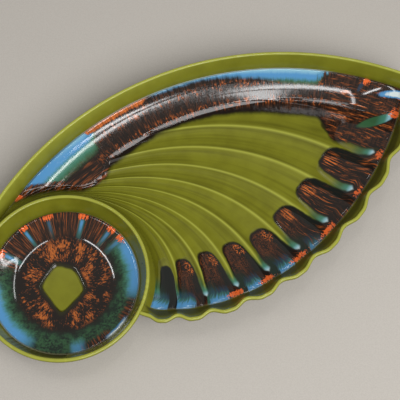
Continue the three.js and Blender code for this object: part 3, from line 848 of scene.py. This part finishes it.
well_tree, given, made = glaze_group("well pour")
place = surface_place(well_tree)
from_axis = node_of(
    well_tree, "ShaderNodeVectorMath", {0: place, 1: (*WELL_AXIS.tolist(), 0.0)}, operation="SUBTRACT")
parts = node_of(well_tree, "ShaderNodeSeparateXYZ", {0: from_axis.outputs[0]}).outputs
plan_x, plan_y = (Field(well_tree, part) / MM for part in (parts[0], parts[1]))
radius = (plan_x.squared() + plan_y.squared()).math("SQRT")
toward_x, toward_y = plan_x / radius, plan_y / radius
ragged = mottle(well_tree, place, 170, 3, 0.6) - 0.5
fine = mottle(well_tree, place, 560, 3, 0.65) - 0.5
clusters = mottle(well_tree, place, 85, 1) - 0.5
outwards = vector_of(well_tree, toward_x * 62, toward_y * 62, radius * 0.06)
rays = mottle(well_tree, outwards, 1.0, 3, 0.6, 0.4) - 0.5
outwards = vector_of(well_tree, toward_x * 24, toward_y * 24, radius * 0.34)
dashes = mottle(well_tree, outwards, 1.0, 3, 0.6, 0.7) - 0.5

# Distance outside the window, the farthest of the distances outside its sides
window = None
for start, end in zip(WELL_WINDOW / MM, np.roll(WELL_WINDOW, -1, axis=0) / MM):
    side = (end - start) / length(end - start)
    outside = (plan_x - start[0]) * -side[1] + (plan_y - start[1]) * side[0]
    window = outside if window is None else window.math("SMOOTH_MAX", outside, 9.0)
window = window - 1.8 + ragged * 1.5


# Share of a sector about the axis, 1 inside it and 0 outside
def sector(middle, half_angle, soft):
    angle = math.radians(middle)
    facing = toward_x * math.cos(angle) + toward_y * math.sin(angle)
    return facing.smooth(math.cos(math.radians(half_angle + soft)), math.cos(math.radians(half_angle - soft)))


# Rings: black round the window, green outside it, and fine brown rays on the upper side
ray_side = sector(104, 62, 9)
green_side = 1 - ray_side
hue = layered(
    well_tree, BLACK_BROWN, ((radius + ragged * 8).smooth(41, 50) * green_side, DEEP_GREEN),
    ((radius + ragged * 14).smooth(44, 54) * (fine + ragged * 0.8).smooth(-0.16, 0.14) * green_side * 0.9,
     GREEN),
    ((radius + ragged * 5).smooth(42, 48) * ray_side * rays.smooth(-0.1, 0.1), BROWN),
    ((radius + ragged * 5).smooth(42, 48) * ray_side * rays.smooth(0.03, 0.13) * 0.85, RUST))

# Crescents of teal and blue at the crease, and rusty rays where they end. The white core of the blue crescent
# at the lower right is a painted highlight.
crescents = sector(13, 22, 9) + sector(214, 27, 9) + sector(-76, 4, 4) * 0.7
edge_in = radius + ragged * 6 + rays * 5
rusty = sector(-26, 8, 6) + sector(-60, 10, 6)
hue = layered(
    well_tree, hue, (edge_in.smooth(49, 57) * crescents * 0.9, TEAL),
    (edge_in.smooth(53, 60.5) * crescents, SKY),
    ((radius + ragged * 6).smooth(55, 61) * rusty, BLACK_BROWN),
    ((radius + ragged * 6).smooth(55, 61) * rusty * rays.smooth(0.0, 0.1) * 0.8, RUST),
    ((radius + ragged * 2).smooth(61, 63) * sector(-42, 9, 4), SKY),
    ((radius + ragged * 2).smooth(62.6, 63.8) * sector(-42, 8, 4), WHITE_SKY))

# Drops let down from the crease: an orange blot with a blue tail, some of them blurred
for middle, tail_angle, tail_strength in (
        (156, 2.4, 1.0), (129, 1.3, 0.9), (107, 1.6, 0.25), (77, 2.0, 1.0), (51, 2.2, 0.6), (39, 3.0, 0.45)):
    tail = sector(middle, tail_angle, 1.5) * (radius + ragged * 8).smooth(40, 47) * radius.smooth(61, 58)
    core = sector(middle, tail_angle * 0.4, 1.1) * (radius + ragged * 6).smooth(45, 55) * radius.smooth(60, 57)
    blot = sector(middle, 1.8, 3.4) + rays * 4.4 + fine * 3 - ((radius - 62) / 3.2).squared() * 0.8
    hue = layered(
        well_tree, hue, (tail * 0.8 * tail_strength, DEEP_BLUE), (tail * 0.45 * tail_strength, TEAL),
        (core * 0.9 * tail_strength, SKY), (blot.smooth(0.5, 0.7) * sector(middle, 4.5, 2.5), BLOT))

# Orange flecks between the window and the black ring, then the window itself and a pale line at the crease
fleck_zone = window.smooth(3.5, 7) * (radius + ragged * 9).smooth(45, 37)
fleck = dashes + clusters * 0.75
bare = node_of(well_tree, "ShaderNodeGroup", {}, node_tree=olive_tree)
hue = layered(
    well_tree, hue, (fleck.smooth(0.0, 0.1) * fleck_zone * 0.8, RUST),
    (fleck.smooth(0.09, 0.17) * fleck_zone, AMBER), (window.smooth(4.5, 1.0) * 0.6, HALO),
    (window.smooth(1.2, -0.8), bare.outputs["Color"]), ((radius + fine).smooth(64.0, 64.8) * 0.6, PALE_EDGE))
connect(well_tree, hue, made["Color"])
connect(well_tree, window.smooth(1.2, -0.8) * 0.2 + 0.06, made["Roughness"])
connect(well_tree, ragged * 0.8 + fine * 0.3, made["Height"])

radii = np.linspace(0, WELL_CREASE_RADIUS - 0.2 * MM, 40)
edge = smoothstep(WELL_CREASE_RADIUS - 0.2 * MM - radii, 0, 1 * MM)
profile = [(radius, well_height(radius) - LINING_SINK) for radius in radii]
profile += [
    (radius, well_height(radius) + LINING_RISE * share) for radius, share in zip(radii[::-1], edge[::-1])]
well_lining = turned("well_lining", profile, 160)
well_lining.data.materials.append(poured_material("olive well lining", well_tree, 0.2 * MM, 0.2))
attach(well_lining, "root")
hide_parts("well_lining_glaze")

# Well drip
# A running glaze poured round the dip well. It breaks from orange at the crease to blue, green and black as
# it thickens, and stops short of the middle. It lies thinner in a ring, the knee, where the dish steepens.

DRIP_RISE = 2.1 * MM
DRIP_EDGE = 0.88 * MM
DRIP_UNDER = 0.7 * MM
DRIP_INSET = 0.6 * MM
DRIP_TURNS = 240
DRIP_RINGS = 60
WINDOW_EASE = 1.08
KNEE_RADIUS = 43 * MM
KNEE_WIDTH = 7 * MM
KNEE_DEPTH = 0.45 * MM

turns = np.arange(DRIP_TURNS) * 360 / DRIP_TURNS
facing = polar(1, turns)
window_reach = np.full(DRIP_TURNS, WELL_RADIUS)
for start, end in zip(WELL_WINDOW, np.roll(WELL_WINDOW, -1, axis=0)):
    normal = unit(np.array([start[1] - end[1], end[0] - start[0]]))
    lean = facing @ normal
    side_reach = np.where(lean > 1e-6, (start @ normal) / np.maximum(lean, 1e-6), WELL_RADIUS)
    window_reach = np.minimum(window_reach, side_reach)
spread = np.exp(-np.linspace(-2, 2, 17) ** 2)
all_round = np.concatenate([window_reach[-8:], window_reach, window_reach[:8]])
window_reach = np.convolve(all_round, spread / spread.sum(), "valid")
outer_reach = WELL_CREASE_RADIUS - DRIP_INSET
window_reach = window_reach * WINDOW_EASE
radius = lerp(window_reach, outer_reach, np.linspace(0, 1, DRIP_RINGS)[:, None])
swell = np.minimum(
    smoothstep(radius - window_reach, 0, 2.5 * MM), smoothstep(outer_reach - radius, 0, 1.2 * MM))
knee = KNEE_DEPTH * np.exp(-((radius - KNEE_RADIUS) / KNEE_WIDTH) ** 2)
top = well_height(radius) + lerp(DRIP_EDGE, DRIP_RISE - knee, swell)
under = well_height(radius) + DRIP_UNDER
plan = polar(radius, turns) + WELL_AXIS
layers = np.concatenate([np.concatenate([plan, height[..., None]], -1) for height in (top, under[::-1])])
layers[DRIP_RINGS:, :, :2] = plan[::-1]
spot = np.arange(2 * DRIP_RINGS * DRIP_TURNS).reshape(2 * DRIP_RINGS, DRIP_TURNS)
next_ring, next_turn = np.roll(spot, -1, axis=0), np.roll(spot, -1, axis=1)
faces = np.stack([spot, next_ring, np.roll(next_ring, -1, axis=1), next_turn], -1)
well_drip_mesh = bpy.data.meshes.new("well_drip")
well_drip_mesh.from_pydata(layers.reshape(-1, 3).tolist(), [], faces.reshape(-1, 4).tolist())
well_drip_mesh.materials.append(poured_material("well drip glaze", well_tree, 0.05 * MM))
well_drip_mesh.shade_smooth()
well_drip = piece_of(well_drip_mesh)
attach(well_drip, "root")
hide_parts("well_drip_glaze")

# Leading drip
# The same running glaze, poured along the bank under the leading edge. It hangs in a soft dark hem on the
# floor, gathers in a lobe beside the well and is thick enough to level the ridges under it.

LEADING_DRIP_WIDTH = 36 * MM
LEADING_DRIP_TIP_WIDTH = 31 * MM
LOBE_END_ANGLE = 73
LOBE_ROUNDING = 15 * MM
LOBE_ROUNDING_ANGLE = 12
RING_GAP = 15 * MM
BAND_RISE = 3.1 * MM

drip_material = poured_material("running drip glaze", pour_tree, 0.03 * MM)


# How far in from the leading crease the band reaches: its width, or the lobe's gap round the well
def band_depth(turns, widths):
    depths = np.linspace(0, 110 * MM, 1101)
    points = polar(leading_crease_radius - depths, turns[:, None]) + leading_centre
    past_end = (degrees_of(points) - LOBE_END_ANGLE) / LOBE_ROUNDING_ANGLE
    gap = RING_GAP + LOBE_ROUNDING * np.clip(1 - past_end, 0, 1) ** 2
    covered = np.where(past_end >= 0, length(points) > WELL_RADIUS + gap, depths < widths[:, None])
    return depths[np.argmin(covered, axis=1)]


turns = np.linspace(tip_turn, 146.5, 300)
widths = lerp(LEADING_DRIP_TIP_WIDTH, LEADING_DRIP_WIDTH, np.clip((turns - tip_turn) / (129 - tip_turn), 0, 1))
depth = np.maximum(band_depth(turns, widths), DRIP_INSET + 0.2 * MM)[:, None]
inset = lerp(DRIP_INSET, depth, np.linspace(0, 1, 60))
points = polar(leading_crease_radius - inset, turns[:, None]) + leading_centre
swell = (smoothstep(inset - DRIP_INSET, 0, 2 * MM) * smoothstep(depth - inset, 0, 4 * MM)
         * smoothstep(turns - tip_turn, 0, 1)[:, None])
points = points.reshape(-1, 2)
band_plan = plan_mesh("leading_drip", points, flute_at(points), grid_faces(*inset.shape), swell=swell)
leading_drip = grown(band_plan, shell_tree, drip_material, top_lift=BAND_RISE, edge_lift=DRIP_EDGE,
                     under_lift=DRIP_UNDER, level_rise=0)
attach(leading_drip, "root")
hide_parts("leading_drip_glaze")

# Scallop drips
# Nine fingers of the running glaze, one in each flute, let down from the scalloped crease. Each runs in along
# its flute and stops in a round dark tip.

FINGER_LENGTH = 50 * MM
FINGER_HALF_WIDTH = 0.42


# Run at which a flute lies at a distance from its crease, by halving
def run_at(flute, distance):
    near, far = np.ones_like(distance), np.full_like(distance, tail_run)
    for halving in range(26):
        middle = (near + far) / 2
        short = length(floor_point(np.full_like(middle, flute), middle) - crease_point(flute)) < distance
        near, far = np.where(short, middle, near), np.where(short, far, middle)
    return near


for finger in range(1, SCALLOPS):
    turn = np.linspace(0, np.pi / 2, 40)
    half_width = np.maximum(FINGER_HALF_WIDTH * np.sqrt(np.abs(np.cos(turn))), 0.02)
    distance = lerp(DRIP_INSET, FINGER_LENGTH, np.sin(turn))
    across = np.linspace(-1, 1, 33)
    flute = finger - 0.5 + across * half_width[:, None]
    run = np.broadcast_to(run_at(finger - 0.5, distance)[:, None], flute.shape)
    to_side = (1 - np.abs(across)) * half_width[:, None] * 33 * MM
    swell = (smoothstep(to_side, 0, 4 * MM) * smoothstep(FINGER_LENGTH - distance, 0, 6 * MM)[:, None]
             * smoothstep(distance - DRIP_INSET, 0, 2 * MM)[:, None])
    finger_plan = plan_mesh(f"scallop_drip_{finger}", floor_point(flute, run).reshape(-1, 2), flute.ravel(),
                            grid_faces(*flute.shape), swell=swell)
    scallop_drip = grown(finger_plan, shell_tree, drip_material, top_lift=DRIP_RISE, edge_lift=DRIP_EDGE,
                         under_lift=DRIP_UNDER)
    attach(scallop_drip, "root")
    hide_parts(f"scallop_drip_glaze_{finger}")

# Table, light and camera
# The platter lies on a plain grey sheet under soft studio light, seen from the front, well above it. Long
# lamps overhead show as bright streaks in the glaze. From below, the sheet is clear.

SHEET = colour(191, 186, 179)
SHEET_SHADE = colour(184, 179, 172)

sheet = bpy.data.meshes.new("grey_sheet")
SHEET_HALF = 3
SHEET_GAP = 0.2 * MM
corners = [(SHEET_HALF * x, SHEET_HALF * y) for x, y in ((-1, -1), (1, -1), (1, 1), (-1, 1))]
sheet.from_pydata([(*corner, -SHEET_GAP) for corner in corners], [], [(0, 1, 2, 3)])
grey_sheet = piece_of(sheet)
sheet_material, tree, shader = glaze_material("grey sheet")
weave = mottle(tree, surface_place(tree), 900, 3).smooth(0.3, 0.7)
connect(tree, layered(tree, SHEET, (weave, SHEET_SHADE)), shader.inputs["Base Color"])
shader.inputs["Roughness"].default_value = 0.9
shader.inputs["Specular IOR Level"].default_value = 0.1
sheet.materials.append(sheet_material)
from_below = node_of(tree, "ShaderNodeNewGeometry", {}).outputs["Backfacing"]
clear = node_of(tree, "ShaderNodeBsdfTransparent", {}).outputs[0]
sided = node_of(tree, "ShaderNodeMixShader", {0: from_below, 1: shader.outputs[0], 2: clear})
connect(tree, sided.outputs[0], tree.nodes["Material Output"].inputs["Surface"])


def aimed(item, spot, target):
    item.location = spot
    item.rotation_euler = (item.location - Vector(target)).to_track_quat("Z", "Y").to_euler()


def lamp(name, width, depth, watts, mirrored=True):
    light = bpy.data.lights.new(name, "AREA")
    light.shape = "RECTANGLE"
    light.size, light.size_y, light.energy = width, depth, watts
    item = bpy.data.objects.new(name, light)
    bpy.context.scene.collection.objects.link(item)
    item.visible_glossy = mirrored
    return item


# A long lamp that faces straight down, from one end to the other
def strip_lamp(name, start, end, width, watts):
    start, end = np.array(start), np.array(end)
    strip = lamp(name, float(length(end - start)), width, watts)
    strip.location = (*((start + end) / 2).tolist(), 1.2)
    strip.rotation_euler = (0, 0, math.atan2(end[1] - start[1], end[0] - start[0]))


strip_lamp("left_strip", (-0.395, -0.04), (-0.665, 0.276), 0.035, 0.95)
strip_lamp("middle_strip", (-0.13, -0.03), (0.06, 0.18), 0.03, 0.5)
strip_lamp("back_strip", (0.15, 0.47), (0.155, 0.22), 0.03, 0.3)
strip_lamp("right_strip", (0.16, 0.2), (0.205, 0.03), 0.022, 0.22)
strip_lamp("front_strip", (0.215, 0.0), (0.28, -0.03), 0.02, 0.1)
aimed(lamp("front_panel", 1.2, 1.2, 24), (0.6, -0.9, 1.3), (0, 0, 0))

world = bpy.data.worlds.new("studio")
world.use_nodes = True
world.node_tree.nodes["Background"].inputs["Color"].default_value = colour(255, 252, 248)
world.node_tree.nodes["Background"].inputs["Strength"].default_value = 0.36
bpy.context.scene.world = world

CAMERA_TARGET = (118.4 * MM, 76.2 * MM)
CAMERA_TARGET_HEIGHT = 20 * MM
CAMERA_DISTANCE = 950 * MM
CAMERA_ELEVATION = math.radians(68.5)

camera_data = bpy.data.cameras.new("camera")
camera_data.lens = 95
camera_data.sensor_width = 36
camera = bpy.data.objects.new("camera", camera_data)
bpy.context.scene.collection.objects.link(camera)
target_x, target_y = (WELL_AXIS + CAMERA_TARGET).tolist()
camera.location = (target_x, target_y - CAMERA_DISTANCE * math.cos(CAMERA_ELEVATION),
                   CAMERA_TARGET_HEIGHT + CAMERA_DISTANCE * math.sin(CAMERA_ELEVATION))
camera.rotation_euler = (math.pi / 2 - CAMERA_ELEVATION, 0, 0)
bpy.context.scene.camera = camera
bpy.context.scene.view_settings.view_transform = "Standard"
